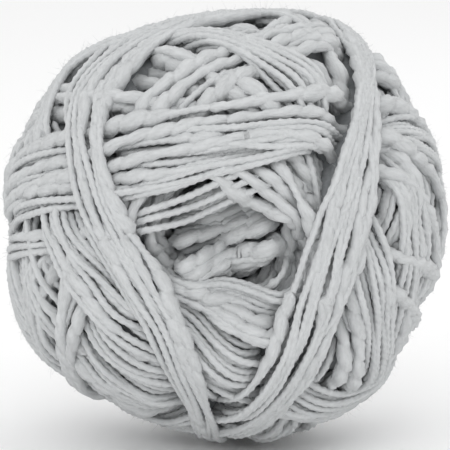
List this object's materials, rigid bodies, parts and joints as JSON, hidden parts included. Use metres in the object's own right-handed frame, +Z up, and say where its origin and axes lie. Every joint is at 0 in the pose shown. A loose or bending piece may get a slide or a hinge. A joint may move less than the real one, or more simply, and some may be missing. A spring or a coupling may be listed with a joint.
{
  "type": "ball of cotton yarn",
  "caption": "Ball of pale grey thick-and-thin cotton yarn, wound round an open eye and lying on its side.",
  "frame": {"origin": "middle of the ball's footprint, on the surface that it rests on", "axes": "+Z up, +Y along the ball's winding axis, away from the eye that faces the viewer, +X to the viewer's right"},
  "size_m": [0.1001, 0.084, 0.0984],
  "materials": {
    "yarn": "matt two-ply cotton yarn, thick and thin along its length"
  },
  "bodies": {
    "root": {"yarn_ball": "yarn"}
  },
  "joints": []
}
